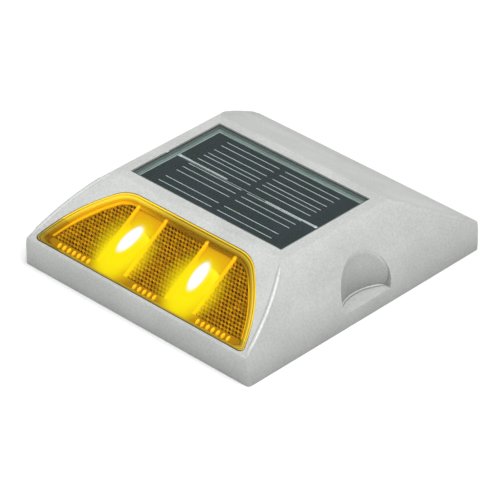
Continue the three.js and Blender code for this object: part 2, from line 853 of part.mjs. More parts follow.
function basePlate() {
  const halfWidth = base.width / 2 - GAP;
  const halfLength = base.length / 2 - GAP;
  const blank = cut(
    plate(halfWidth, halfLength, base.cornerRadius, 0, base.thickness),
    ...reliefRods(GAP, -2, base.thickness + 2),
  );
  const { keyHalf } = base;
  const grooves = [0, 1].flatMap((axis) => {
    const pitch = (2 * keyHalf[axis]) / base.pads;
    return Array.from({ length: base.pads - 1 }, (_, i) => {
      const middle = -keyHalf[axis] + (i + 1) * pitch;
      const low = [-keyHalf[0], -keyHalf[1], -1];
      const high = [keyHalf[0], keyHalf[1], base.grooveDepth];
      low[axis] = middle - base.grooveWidth / 2;
      high[axis] = middle + base.grooveWidth / 2;
      return boxSolid(low, high);
    });
  });
  const countersink = baseScrew.headRadius + 0.5;
  const screwHoles = screwPlaces.map(([x, y]) =>
    join(
      rodSolid(x, y, -1, base.thickness + 1, base.screwHole, 16),
      rodSolid(x, y, -0.3, base.thickness - 0.5, countersink, 20, base.screwHole),
    ),
  );
  const { x, y, knob, travel, slotPlay } = powerSwitch;
  const slotHalf = [(knob[0] + travel) / 2 + slotPlay, knob[1] / 2 + slotPlay];
  const slotCut = boxSolid([x - slotHalf[0], y - slotHalf[1], -1], [
    x + slotHalf[0],
    y + slotHalf[1],
    base.thickness + 1,
  ]);
  const [recessHalf, recessLength, recessDepth] = powerSwitch.recess;
  const thumbRecess = boxSolid([x - recessHalf, y - recessLength, -1], [
    x + recessHalf,
    y + recessLength,
    recessDepth,
  ]);
  return cut(blank, ...grooves, ...screwHoles, slotCut, thumbRecess);
}

function baseGasket() {
  const ring = (inset, z0, z1) =>
    cut(
      plate(base.width / 2 - inset, base.length / 2 - inset, base.cornerRadius - inset, z0, z1),
      ...reliefRods(inset, -2, body.height),
    );
  const bottom = base.thickness + base.play;
  const top = base.thickness + base.gasket - base.play;
  const inner = base.gasketEdge + base.gasketWidth;
  return cut(ring(base.gasketEdge, bottom, top), ring(inner, bottom - 1, top + 1));
}

function addBaseScrews() {
  const { bottom, headRadius, recess } = baseScrew;
  const [long, thin] = baseScrew.cross;
  const headTop = bottom + baseScrew.head;
  screwPlaces.forEach(([x, y], i) => {
    const head = rodSolid(x, y, bottom, headTop, headRadius, 20, baseScrew.radius);
    const shank = rodSolid(x, y, headTop - 0.3, base.bossTop - baseScrew.tipGap, baseScrew.radius, 14);
    const cross = [
      [long, thin],
      [thin, long],
    ].map(([halfX, halfY]) => boxSolid([x - halfX, y - halfY, -1], [x + halfX, y + halfY, bottom + recess]));
    add("base_screw_" + (i + 1), cut(join(head, shank), ...cross), materials.steel);
  });
}

// ---- assembly -----------------------------------------------------------------------------

add("housing", housing(), materials.castAluminium);
addPanelStack();
addLens();
addLeds();
addCircuitBoard();
addPcbScrews();
addSwitch();
addBattery();
addBatterySupports();
addWires();
add("base_plate", basePlate(), materials.blackPlastic);
add("base_gasket", baseGasket(), materials.blackRubber);
addBaseScrews();

export default root;
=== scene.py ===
"""The looks of the solar raised pavement marker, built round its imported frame.

Sizes are in millimetres in the row's frame (+Z up, -Y towards the traffic, origin under the
middle) and are turned into metres where a mesh, camera or light is made.
"""

import json
import math
import random

import bmesh
import bpy
from mathutils import Matrix, Vector


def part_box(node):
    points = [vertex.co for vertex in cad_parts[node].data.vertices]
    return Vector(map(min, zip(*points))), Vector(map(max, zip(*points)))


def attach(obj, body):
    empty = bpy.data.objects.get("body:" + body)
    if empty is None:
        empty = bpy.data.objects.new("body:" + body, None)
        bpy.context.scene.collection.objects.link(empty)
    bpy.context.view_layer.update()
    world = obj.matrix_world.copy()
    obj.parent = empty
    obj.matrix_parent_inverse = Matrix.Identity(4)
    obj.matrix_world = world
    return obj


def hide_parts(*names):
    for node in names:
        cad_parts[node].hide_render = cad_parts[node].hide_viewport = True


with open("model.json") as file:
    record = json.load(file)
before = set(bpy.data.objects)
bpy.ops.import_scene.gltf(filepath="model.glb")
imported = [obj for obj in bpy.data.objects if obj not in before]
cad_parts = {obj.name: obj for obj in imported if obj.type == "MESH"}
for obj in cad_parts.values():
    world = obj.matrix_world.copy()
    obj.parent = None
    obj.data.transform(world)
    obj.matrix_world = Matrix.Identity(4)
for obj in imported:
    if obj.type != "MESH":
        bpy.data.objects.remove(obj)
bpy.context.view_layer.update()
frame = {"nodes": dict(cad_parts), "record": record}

MM = 0.001
BODY = "marker"


# ---- places on the marker -----------------------------------------------------------------


def corners(node):
    """Lowest and highest corner of a CAD node, in millimetres."""
    return tuple(Vector(corner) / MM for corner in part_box(node))


HOUSING_LOW, HOUSING_HIGH = corners("housing")
HEIGHT = HOUSING_HIGH.z
SKIRT = 10.0  # height of the upright front and rear faces
TOP_FRONT = -25.8  # the crease between the front slope and the flat top
TOP_REAR = 22.8  # the crease between the flat top and the rear slope
SLOPE = math.atan2(HEIGHT - SKIRT, TOP_FRONT - HOUSING_LOW.y)
REAR_SLOPE = math.atan2(HEIGHT - SKIRT, HOUSING_HIGH.y - TOP_REAR)

# The slope frame: X across, Y up the front slope, Z out of it, origin on the front crease.
SLOPE_FRAME = Matrix.Translation((0, TOP_FRONT, HEIGHT)) @ Matrix.Rotation(SLOPE, 4, "X")
TO_SLOPE = SLOPE_FRAME.inverted()


# ---- camera, light and floor --------------------------------------------------------------

CAMERA_BACK = Vector((0.5790, -0.6015, 0.5504))  # from the marker towards the camera
CAMERA_DISTANCE = 1111.8
CAMERA_LENS = 247.8  # on a 36 mm sensor
CAMERA_SHIFT = (-0.0056, 0.0109)
LAMPS = {  # place and size in millimetres, and power
    "key_lamp": ((-350, -900, 650), 700, 2.8),
    "side_lamp": ((680, -200, 1000), 1000, 9.4),
    "overhead_lamp": ((220, 75, 1200), 300, 2.9),
}
HORIZON = (0.1, 0.1, 0.1)
ZENITH = (0.95, 0.95, 0.95)
SKY_STRENGTH = 0.85
FLOOR_HALF = 6000
FLOOR_TUCK = 0.8  # how far the floor reaches in under the marker
FLOOR_DROP = 0.02  # how far it lies below the marker's base
FLOOR_COLOUR = (0.86, 0.86, 0.86, 1)


def make_camera():
    """The photo's camera, aimed at the middle of the marker's base and shifted."""
    data = bpy.data.cameras.new("camera")
    data.sensor_width = 36
    data.lens = CAMERA_LENS
    data.shift_x, data.shift_y = CAMERA_SHIFT
    data.clip_start = 0.05
    data.clip_end = 20
    camera = bpy.data.objects.new("camera", data)
    back = CAMERA_BACK.normalized()
    camera.location = back * CAMERA_DISTANCE * MM
    camera.rotation_euler = (-back).to_track_quat("-Z", "Y").to_euler()
    bpy.context.scene.collection.objects.link(camera)
    bpy.context.scene.camera = camera


def make_lamp(name, place, size, power):
    """A square white area lamp that faces the marker. place and size are in millimetres."""
    data = bpy.data.lights.new(name, "AREA")
    data.size = size * MM
    data.energy = power
    lamp = bpy.data.objects.new(name, data)
    lamp.location = Vector(place) * MM
    lamp.rotation_euler = (-lamp.location).to_track_quat("-Z", "Y").to_euler()
    bpy.context.scene.collection.objects.link(lamp)


def make_sky():
    """A soft white sky, darker towards the horizon and the same below it."""
    world = bpy.data.worlds.new("studio")
    bpy.context.scene.world = world
    world.use_nodes = True
    tree = world.node_tree
    direction = add_node(tree, "TexCoord").outputs["Generated"]
    rise = add_node(tree, "SeparateXYZ", {0: direction}).outputs["Z"]
    height = add_node(tree, "Math", {0: rise}, operation="ABSOLUTE").outputs[0]
    sky = ramp(tree, height, HORIZON, ZENITH, (0.0, 0.8))
    background = tree.nodes["Background"]
    tree.links.new(sky, background.inputs["Color"])
    background.inputs["Strength"].default_value = SKY_STRENGTH


def make_floor():
    """A pale floor, open under the marker and clear from below, so that the underside shows."""
    bm = bmesh.new()
    inner = HOUSING_HIGH.xy - Vector((FLOOR_TUCK, FLOOR_TUCK))
    outer = Vector((FLOOR_HALF, FLOOR_HALF))
    rings = []
    for half in (inner, outer):
        signs = ((-1, -1), (1, -1), (1, 1), (-1, 1))
        rings.append([bm.verts.new((sx * half.x, sy * half.y, -FLOOR_DROP)) for sx, sy in signs])
    for i in range(4):
        j = (i + 1) % 4
        bm.faces.new((rings[0][j], rings[0][i], rings[1][i], rings[1][j]))
    bm.transform(Matrix.Scale(MM, 4))
    mesh = bpy.data.meshes.new("floor")
    bm.to_mesh(mesh)
    bm.free()
    mesh.materials.append(floor_material())
    floor = bpy.data.objects.new("floor", mesh)
    bpy.context.scene.collection.objects.link(floor)


def floor_material():
    """Matt and pale from above, clear from below."""
    material, tree, output = new_material("floor")
    pale = add_node(tree, "BsdfPrincipled", {"Base Color": FLOOR_COLOUR, "Roughness": 0.9})
    through = add_node(tree, "BsdfTransparent", {"Color": (1, 1, 1, 1)})
    below = add_node(tree, "NewGeometry").outputs["Backfacing"]
    surface = add_node(tree, "MixShader", {0: below, 1: pale.outputs[0], 2: through.outputs[0]})
    tree.links.new(surface.outputs[0], output.inputs["Surface"])
    return material


def make_studio():
    """Everything round the marker."""
    bpy.context.scene.view_settings.view_transform = "Standard"
    make_sky()
    for name, (place, size, power) in LAMPS.items():
        make_lamp(name, place, size, power)
    make_floor()


# ---- node materials -----------------------------------------------------------------------


def new_material(name):
    """(material, its node tree, its output node), with no shader yet."""
    material = bpy.data.materials.new(name)
    material.use_nodes = True
    tree = material.node_tree
    tree.nodes.clear()
    output = tree.nodes.new("ShaderNodeOutputMaterial")
    return material, tree, output


def add_node(tree, kind, inputs=None, **settings):
    """A node with its settings, each input either a value or another node's output."""
    node = tree.nodes.new("ShaderNode" + kind)
    for name, value in settings.items():
        setattr(node, name, value)
    for name, value in (inputs or {}).items():
        if isinstance(value, bpy.types.NodeSocket):
            tree.links.new(value, node.inputs[name])
        else:
            node.inputs[name].default_value = value
    return node


def coordinates(tree):
    """The place on the marker in metres: every piece's origin is the row's."""
    return add_node(tree, "TexCoord").outputs["Object"]


def noise(tree, size, detail=3.0, roughness=0.5):
    """Noise from 0 to 1 with features of about that size in millimetres."""
    look = {"Scale": 1 / (size * MM), "Detail": detail, "Roughness": roughness}
    return add_node(tree, "TexNoise", {"Vector": coordinates(tree), **look}).outputs["Fac"]


def ramp(tree, factor, low, high, at=(0.35, 0.65)):
    """factor turned into a value, or a colour, between low and high."""
    colours = isinstance(low, tuple)
    limits = {"Value": factor, "From Min": at[0], "From Max": at[1]}
    spread = add_node(tree, "MapRange", limits, clamp=True)
    mixed = add_node(tree, "Mix", data_type="RGBA" if colours else "FLOAT")
    sockets = {socket.name: socket for socket in mixed.inputs if socket.enabled}
    sockets["A"].default_value = (*low, 1) if colours else low
    sockets["B"].default_value = (*high, 1) if colours else high
    tree.links.new(spread.outputs[0], sockets["Factor"])
    return next(socket for socket in mixed.outputs if socket.enabled)


def either(tree, a, b):
    """The larger of two values."""
    return add_node(tree, "Math", {0: a, 1: b}, operation="MAXIMUM").outputs[0]


def product(tree, a, b):
    """Two values multiplied."""
    return add_node(tree, "Math", {0: a, 1: b}, operation="MULTIPLY").outputs[0]


def bump(tree, height, depth, strength=1.0, normal=None):
    """A bump of that depth in millimetres."""
    inputs = {"Height": height, "Distance": depth * MM, "Strength": strength}
    if normal is not None:
        inputs["Normal"] = normal
    return add_node(tree, "Bump", inputs).outputs["Normal"]


def principled(name, inputs):
    """A material of one Principled shader; inputs is called with the tree and gives its sockets."""
    material, tree, output = new_material(name)
    shader = add_node(tree, "BsdfPrincipled", inputs(tree))
    tree.links.new(shader.outputs[0], output.inputs["Surface"])
    return material


def notch_painted_shade(tree, place):
    """Below 1 in the notches: painted shade that makes their walls darker than the flanks round them."""
    x = add_node(tree, "Math", {0: place["X"]}, operation="ABSOLUTE").outputs[0]
    y = add_node(tree, "Math", {0: place["Y"]}, operation="ABSOLUTE").outputs[0]
    flat = add_node(tree, "CombineXYZ", {"X": x, "Z": place["Z"]}).outputs[0]
    centre = ((HOUSING_HIGH.x - FLANK_RADIUS) * MM, 0, FLANK_FOOT * MM)
    reach = add_node(tree, "VectorMath", {0: flat, 1: centre}, operation="DISTANCE").outputs["Value"]
    shade = ramp(tree, reach, 0.8, 1.0, ((FLANK_RADIUS - 1.2) * MM, (FLANK_RADIUS - 0.3) * MM))
    beyond = ramp(tree, y, 0.0, 1.0, ((NOTCH_HALF + 0.7) * MM, (NOTCH_HALF + 1.3) * MM))
    within = ramp(tree, x, 1.0, 0.0, ((NOTCH_BACK - 0.6) * MM, (NOTCH_BACK - 0.3) * MM))
    return either(tree, either(tree, shade, beyond), within)


def cast_aluminium():
    """Blasted casting: a fine sandy skin, faint clouds and darker flecks, with painted shade towards the
    foot and in the notches.
    """

    def inputs(tree):
        clouds = noise(tree, 16, 4)
        grain = noise(tree, 0.5, 2, 0.6)
        flecks = noise(tree, 0.7, 3)
        sand = bump(tree, grain, 0.12, 0.6)
        dents = bump(tree, noise(tree, 3.2, 2), 0.12, 0.4, sand)
        base = ramp(tree, clouds, (0.50, 0.515, 0.495), (0.575, 0.585, 0.575), (0.3, 0.7))
        place = add_node(tree, "SeparateXYZ", {0: coordinates(tree)}).outputs
        facing = add_node(tree, "TexCoord").outputs["Normal"]
        upward = add_node(tree, "SeparateXYZ", {0: facing}).outputs["Z"]
        # painted shade: darker towards the foot and in the notches, but not on faces that look up
        painted_shade = ramp(tree, place["Z"], 0.56, 0.97, (-1 * MM, 16 * MM))
        painted_shade = product(tree, painted_shade, notch_painted_shade(tree, place))
        painted_shade = either(tree, painted_shade, upward)
        shade = product(tree, ramp(tree, flecks, 0.90, 1.06, (0.3, 0.65)), painted_shade)
        speckled = add_node(tree, "VectorMath", {0: base, 1: shade}, operation="MULTIPLY").outputs[0]
        return {
            "Base Color": speckled,
            "Metallic": 0.3,
            "Roughness": ramp(tree, grain, 0.40, 0.52),
            "Normal": dents,
        }

    return principled("cast_aluminium", inputs)


def plain(name, colour, roughness, size=0.8, metallic=0.0, depth=0.02):
    """Moulded, drawn or rolled stock: a base colour with slight clouds and a fine skin."""

    def inputs(tree):
        darker = tuple(0.82 * c for c in colour)
        return {
            "Base Color": ramp(tree, noise(tree, size * 6), darker, colour),
            "Metallic": metallic,
            "Roughness": ramp(tree, noise(tree, size), roughness * 0.8, min(1, roughness * 1.2)),
            "Normal": bump(tree, noise(tree, size * 0.5), depth, 0.5),
        }

    return principled(name, inputs)


# Colour, roughness, size of the grain in mm, and metallic, for the slots with a plain finish.
PLAIN_FINISHES = {
    "black_rubber": ((0.010, 0.011, 0.012), 0.65, 0.5, 0),
    "grey_spacer": ((0.20, 0.245, 0.235), 0.6, 0.8, 0),
    "panel_board": ((0.42, 0.47, 0.45), 0.6, 1.2, 0),
    "tinned_ribbon": ((0.78, 0.81, 0.82), 0.32, 0.7, 0.7),
    "green_board": ((0.012, 0.10, 0.035), 0.4, 2.0, 0),
    "black_plastic": ((0.018, 0.019, 0.021), 0.5, 0.6, 0),
    "ferrite": ((0.035, 0.033, 0.030), 0.75, 0.4, 0),
    "battery_can": ((0.58, 0.59, 0.60), 0.3, 1.5, 1),
    "capacitor_can": ((0.62, 0.63, 0.64), 0.3, 1.0, 1),
    "ceramic": ((0.45, 0.34, 0.21), 0.5, 0.4, 0),
    "white_plastic": ((0.72, 0.70, 0.64), 0.4, 0.7, 0),
    "battery_wrap": ((0.03, 0.19, 0.07), 0.3, 2.0, 0),
    "cradle_plastic": ((0.022, 0.024, 0.027), 0.5, 0.9, 0),
    "foam": ((0.035, 0.036, 0.038), 0.95, 0.35, 0),
    "red_wire": ((0.45, 0.012, 0.010), 0.4, 1.0, 0),
    "black_wire": ((0.012, 0.012, 0.012), 0.4, 1.0, 0),
    "steel": ((0.60, 0.60, 0.59), 0.35, 0.6, 1),
}


def silicon():
    """Solar cells: nearly black, with faint greenish and bluish clouds."""

    def inputs(tree):
        clouds = noise(tree, 7, 3)
        return {
            "Base Color": ramp(tree, clouds, (0.010, 0.019, 0.019), (0.016, 0.021, 0.028)),
            "Roughness": ramp(tree, noise(tree, 1.2), 0.30, 0.42),
            "Specular IOR Level": 0.28,
            "Normal": bump(tree, noise(tree, 0.5), 0.01, 0.3),
        }

    return principled("silicon", inputs)


def front_gloss(tree, share):
    """How much a clear piece mirrors, on the side that faces out only."""
    inside = add_node(tree, "NewGeometry").outputs["Backfacing"]
    outside = add_node(tree, "Math", {0: 1.0, 1: inside}, operation="SUBTRACT").outputs[0]
    mirrored = add_node(tree, "Fresnel", {"IOR": 1.49}).outputs[0]
    return product(tree, product(tree, mirrored, outside), share)


def clear_window():
    """Clear polished plate: what lies under it shows unbent, with a reflection on its top."""
    material, tree, output = new_material("clear_window")
    clear = add_node(tree, "BsdfTransparent", {"Color": (0.94, 0.97, 0.96, 1)})
    scuffs = ramp(tree, noise(tree, 2.5), 0.03, 0.14)
    gloss = add_node(tree, "BsdfGlossy", {"Roughness": scuffs, "Color": (1, 1, 1, 1)})
    shares = {0: front_gloss(tree, 0.3), 1: clear.outputs[0], 2: gloss.outputs[0]}
    surface = add_node(tree, "MixShader", shares)
    tree.links.new(surface.outputs[0], output.inputs["Surface"])
    return material


def led_epoxy():
    """A lit LED."""

    def inputs(tree):
        return {
            "Base Color": ramp(tree, noise(tree, 1.5), (0.9, 0.8, 0.45), (1.0, 0.93, 0.66)),
            "Roughness": 0.15,
            "Emission Color": (1.0, 0.80, 0.10, 1),
            "Emission Strength": 0.9,
        }

    return principled("led_epoxy", inputs)


def finish_nodes():
    """Gives every CAD node the finish of its slot in the record, and returns all the finishes."""
    made = {
        "cast_aluminium": cast_aluminium(),
        "clear_window": clear_window(),
        "amber_lens": amber_skin(),
        "amber_insert": plain("amber_insert", (0.80, 0.45, 0.01), 0.4, 0.8),
        "relief": amber_relief(),
        "silicon": silicon(),
        "led_epoxy": led_epoxy(),
    }
    for slot, (colour, roughness, grain, metallic) in PLAIN_FINISHES.items():
        made[slot] = plain(slot, colour, roughness, grain, metallic)
    for part in frame["record"]["subparts"]:
        for material_slot in frame["nodes"][part["node"]].material_slots:
            material_slot.material = made[part["material_slot"]]
    return made


# ---- amber plastic ------------------------------------------------------------------------

# Places in the slope frame.
LED_X = 15.2
HALO_Y = -20.5
CORE_Y = -17
LEANS = {-1: math.radians(-11), 1: math.radians(2)}  # of the left and right LED's bright spot


def slope_coordinates(tree):
    """The place in the slope frame, in millimetres."""
    place, turn, size = (TO_SLOPE @ Matrix.Scale(1 / MM, 4)).decompose()
    mapped = {"Vector": coordinates(tree), "Location": place, "Rotation": turn.to_euler(), "Scale": size}
    return add_node(tree, "Mapping", mapped).outputs[0]


def spot(tree, centre, half_sizes, lean, start, end):
    """1 inside an ellipse on the slope, falling to 0 between start and end half sizes."""
    from_centre = {0: slope_coordinates(tree), 1: (*centre, 0)}
    moved = add_node(tree, "VectorMath", from_centre, operation="SUBTRACT").outputs[0]
    turned = add_node(tree, "Mapping", {"Vector": moved, "Rotation": (0, 0, -lean)}).outputs[0]
    shares = {0: turned, 1: (1 / half_sizes[0], 1 / half_sizes[1], 0)}
    scaled = add_node(tree, "VectorMath", shares, operation="MULTIPLY").outputs[0]
    distance = add_node(tree, "VectorMath", {0: scaled}, operation="LENGTH").outputs["Value"]
    limits = {"Value": distance, "From Min": start, "From Max": end, "To Min": 1, "To Max": 0}
    return add_node(tree, "MapRange", limits, interpolation_type="SMOOTHSTEP").outputs[0]


def led_spots(tree, y, half_sizes, start, end):
    """The same spot at both LEDs."""
    left, right = (
        spot(tree, (side * LED_X, y), half_sizes, lean, start, end) for side, lean in LEANS.items()
    )
    return either(tree, left, right)


def amber_skin():
    """Clear amber cover: tinted and glossy, with a painted glow round the LEDs, a white core in a yellow
    halo.
    """
    material, tree, output = new_material("amber_skin")
    clear = add_node(tree, "BsdfTransparent", {"Color": (1.0, 0.93, 0.5, 1)})
    # painted glow: emission in ellipses round each LED, white in the core and yellow further out
    core = led_spots(tree, CORE_Y, (2.5, 5.9), 0.75, 1.12)
    near = product(tree, led_spots(tree, CORE_Y - 4.5, (8.8, 13), 0.35, 1.15), 0.95)
    far = product(tree, led_spots(tree, HALO_Y, (14, 15), 0.15, 1), 0.5)
    colour = ramp(tree, core, (0.95, 0.80, 0.0), (1.0, 1.0, 0.96), (0, 1))
    glow = add_node(tree, "Emission", {"Color": colour, "Strength": 1.05})
    glow_share = either(tree, either(tree, near, far), core)
    lit = add_node(tree, "MixShader", {0: glow_share, 1: clear.outputs[0], 2: glow.outputs[0]})
    gloss = add_node(tree, "BsdfGlossy", {"Roughness": 0.16, "Color": (1, 1, 1, 1)})
    shares = {0: front_gloss(tree, 0.22), 1: lit.outputs[0], 2: gloss.outputs[0]}
    surface = add_node(tree, "MixShader", shares)
    tree.links.new(surface.outputs[0], output.inputs["Surface"])
    return material


def amber_relief():
    """Amber plastic, lighter or darker by the mesh's tone, which paints light and shade, and with a
    painted glow round the LEDs.
    """

    def inputs(tree):
        tone = add_node(tree, "Attribute", attribute_name="tone").outputs["Fac"]
        return {
            "Base Color": ramp(tree, tone, (0.06, 0.025, 0.001), (0.92, 0.62, 0.02), (0, 1)),
            "Roughness": 0.35,
            "Specular IOR Level": 0.25,
            "Emission Color": (1.0, 0.78, 0.0, 1),
            # painted glow of the LEDs on the plastic round them
            "Emission Strength": product(tree, led_spots(tree, HALO_Y - 2, (12, 13), 0.2, 1), 0.55),
        }

    return principled("amber_relief", inputs)


# ---- meshes -------------------------------------------------------------------------------

SHARP = math.radians(24)  # edges with more than this between their faces are rounded
REPLACED = set()  # the CAD nodes that a piece stands in for


def add_piece(name, bm, material, replaces=()):
    """A finished piece of the marker's body from a bmesh in metres."""
    mesh = bpy.data.meshes.new(name)
    bm.to_mesh(mesh)
    bm.free()
    piece = bpy.data.objects.new(name, mesh)
    bpy.context.scene.collection.objects.link(piece)
    mesh.materials.append(material)
    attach(piece, BODY)
    if replaces:
        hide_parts(*replaces)
        REPLACED.update(replaces)
    return piece


def merged_copy(node):
    """A bmesh copy of a CAD node with its triangles joined into flat faces."""
    gap = 0.02 * MM
    bm = bmesh.new()
    bm.from_mesh(frame["nodes"][node].data)
    bmesh.ops.remove_doubles(bm, verts=bm.verts, dist=gap)
    bmesh.ops.dissolve_degenerate(bm, dist=gap, edges=bm.edges)
    bmesh.ops.dissolve_limit(bm, angle_limit=math.radians(0.6), verts=bm.verts, edges=bm.edges)
    bm.normal_update()
    return bm


def round_edges(piece, width, segments, weights=None):
    """Rounds sharp edges by width millimetres, or each edge by its share, and shades smoothly."""
    mesh = piece.data
    bevel = piece.modifiers.new("round", "BEVEL")
    bevel.width = width * MM
    bevel.segments = segments
    if weights is None:
        bevel.limit_method = "ANGLE"
        bevel.angle_limit = SHARP
    else:
        bevel.limit_method = "WEIGHT"
        layer = mesh.attributes.new("bevel_weight_edge", "FLOAT", "EDGE")
        layer.data.foreach_set("value", weights)
    mesh.shade_smooth()
    piece.modifiers.new("shade", "WEIGHTED_NORMAL").keep_sharp = True


# ---- housing ------------------------------------------------------------------------------

CREASE = 1.6  # rounding of the creases across the top
RIDGE = 1.0  # rounding where the flanks meet the slopes and the top
RIDGE_INNER = 36  # these ridges lie further out than this, and the pockets' edges further in
FRONT_EDGE = 0.7
RIM = 0.28  # rounding of the pocket rims and of all other edges
FLANK_RADIUS = 35.1  # the flanks are arcs, upright below FLANK_FOOT
FLANK_FOOT = 0.8
NOTCH_EDGE = 0.5
NOTCH_Y = 0.6
NOTCH_HALF = 11.3
NOTCH_FLOOR = 5.2
NOTCH_BACK = 43.5  # the back wall is part of an upright cylinder
NOTCH_RADIUS = 17
BEAD = 0.98  # radius of the cast bead along the ridges
BEAD_SINK = Vector((0.55, 0, 0.5))  # how far it lies in from the ridge
NOTCH_LIP = 0.5  # radius of the lip round the notch floor
RIDGE_STEPS = 24


def edge_rounding(edge):
    """How far one sharp housing edge is rounded, in millimetres."""
    start, end = (vertex.co / MM for vertex in edge.verts)
    middle = (start + end) / 2
    normals = [face.normal for face in edge.link_faces]
    underneath = any(normal.z <= -0.2 for normal in normals)
    if underneath or middle.z < 0.3:
        return RIM
    across = abs(start.y - end.y) < 0.05
    if across and min(abs(middle.y - TOP_FRONT), abs(middle.y - TOP_REAR)) < 0.1:
        return CREASE
    if across and abs(middle.z - SKIRT) < 0.3:
        return FRONT_EDGE
    if abs(middle.x) > RIDGE_INNER and on_outer_flank(normals) and slope_depth(middle) < 0.1:
        return RIDGE
    if abs(middle.x) > NOTCH_BACK - 0.5 and abs(middle.y - NOTCH_Y) < NOTCH_HALF + 0.5:
        return NOTCH_EDGE
    return RIM


def slope_depth(point):
    """How far a point, in millimetres, lies under the outer top or slopes."""
    front = (TOP_FRONT - point.y) * math.tan(SLOPE)
    rear = (point.y - TOP_REAR) * math.tan(REAR_SLOPE)
    return HEIGHT - max(front, rear, 0) - point.z


def on_outer_flank(normals):
    """Whether one of an edge's faces looks sideways and not down, as the flanks do."""
    return any(abs(normal.x) > 0.6 and normal.z >= 0 for normal in normals)


def make_housing():
    """The casting, with each kind of edge rounded by its own width."""
    bm = merged_copy("housing")
    weights = []
    for edge in bm.edges:
        is_sharp = len(edge.link_faces) == 2 and edge.calc_face_angle(0) > SHARP
        weights.append(edge_rounding(edge) / CREASE if is_sharp else 0.0)
    piece = add_piece("housing_shell", bm, finishes["cast_aluminium"], ["housing"])
    round_edges(piece, CREASE, 4, weights)


def tube(bm, path, radius, around=10):
    """A closed round bead through the points of path that thins out towards both ends."""
    rings = []
    for i, point in enumerate(path):
        along = (path[min(i + 1, len(path) - 1)] - path[max(i - 1, 0)]).normalized()
        side = along.cross(Vector((0, 0, 1))).normalized()
        up = side.cross(along)
        share = i / (len(path) - 1)
        reach = radius * (0.4 + 0.6 * min(1, 9 * min(share, 1 - share)))
        ring = []
        for k in range(around):
            angle = math.tau * k / around
            ring.append(bm.verts.new(point + (side * math.cos(angle) + up * math.sin(angle)) * reach))
        rings.append(ring)
    for lower, upper in zip(rings, rings[1:]):
        for k in range(around):
            j = (k + 1) % around
            bm.faces.new((lower[k], lower[j], upper[j], upper[k]))
    bm.faces.new(list(reversed(rings[0])))
    bm.faces.new(rings[-1])


def ridge_paths():
    """The lines in which the flanks meet the slopes, one list of points for each of the four."""
    centre = HOUSING_HIGH.x - FLANK_RADIUS
    fall = HEIGHT - SKIRT
    paths = []
    for side in (-1, 1):
        for crease, end in ((TOP_FRONT, HOUSING_LOW.y), (TOP_REAR, HOUSING_HIGH.y)):
            path = []
            for step in range(RIDGE_STEPS + 1):
                drop = 0.5 + (fall - 1) * step / RIDGE_STEPS
                z = HEIGHT - drop
                x = centre + math.sqrt(FLANK_RADIUS**2 - (z - FLANK_FOOT) ** 2)
                path.append(Vector((side * x, crease + (end - crease) * drop / fall, z)))
            paths.append(path)
    return paths


def notch_lip(side):
    """The line where a notch's floor meets its back wall."""
    centre = NOTCH_BACK + NOTCH_RADIUS
    widest = math.asin((NOTCH_HALF - 0.6) / NOTCH_RADIUS)
    reach = NOTCH_RADIUS - 0.25
    path = []
    for step in range(-12, 13):
        angle = widest * step / 12
        x = centre - reach * math.cos(angle)
        path.append(Vector((side * x, NOTCH_Y + reach * math.sin(angle), NOTCH_FLOOR + 0.15)))
    return path


def make_beads():
    """The cast bead along each ridge, and the lip round the floor of each notch."""
    bm = bmesh.new()
    for path in ridge_paths():
        sink = BEAD_SINK.copy()
        sink.x = math.copysign(sink.x, path[0].x)
        tube(bm, [point - sink for point in path], BEAD)
    for side in (-1, 1):
        tube(bm, notch_lip(side), NOTCH_LIP)
    bm.transform(Matrix.Scale(MM, 4))
    bmesh.ops.recalc_face_normals(bm, faces=bm.faces)
    beads = add_piece("cast_beads", bm, finishes["cast_aluminium"])
    beads.data.shade_smooth()


# ---- lens ---------------------------------------------------------------------------------

# Places and heights in the slope frame.
LENS_MIDDLE = Vector((0, -20))
RIM_TOP = -0.16
SKIN_TOP = -0.25
SKIN_BACK = -1.45
INSERT_TOP = -1.62
INSERT_BACK = -4.85
POCKET_FLOOR = -2.4
FLANGE = 3.1  # width of the plain rim round the prisms
RIM_WIDTH = 1.9  # its outer part, level with the cover
# Painted glow: RIM_GLOW is where the rim is toned brightest, beside the left LED.
RIM_GLOW = Vector((-27, -8))  # the brightest stretch of the rim, fading out over RIM_GLOW_REACH
RIM_GLOW_REACH = 24
LIP = 0.24  # how far the rim reaches over the seal
FOOT_SHARE = 0.35  # how much of these widths the rim has along the foot of the lens
PRISM_BOTTOM = -28.2  # where the prisms end and the bead band starts
PRISM_RADIUS = 0.82  # of one hexagonal cube corner
# Painted light and shade: each of a cube corner's three facets is toned by the way it faces.
FACET_LIGHT_AND_SHADE = (0.1, 0.42, 0.72)  # of a cube corner's three facets
TONE_SPREAD = 0.12
SIDE_TONE = 0.4  # of a prism block's walls
STRIP_TONE = 0.3  # of the strip under the beads
# Painted highlights: the beads and ribs are toned lighter than the strip and the pocket floor.
BEAD_TONE = 1.25
RIB_TONE = 1.0
POCKET_TONE = 0.6
WELL_HALF = 5.5  # half the clear width between an LED's two ribs
WELL_TOP = -12  # the plain floor above each LED reaches from here to POCKET_TOP
POCKET_TOP = -6.1
RIB_WIDTH = 1.25
BEAD_GROUPS = ((-37.4, 7), (-3.4, 5), (24.4, 7))  # X of the first bead, and how many
BEAD_Y = -29.8
BEAD_PITCH = 2.2
BEAD_RADII = (0.6, 1.15, 0.7)
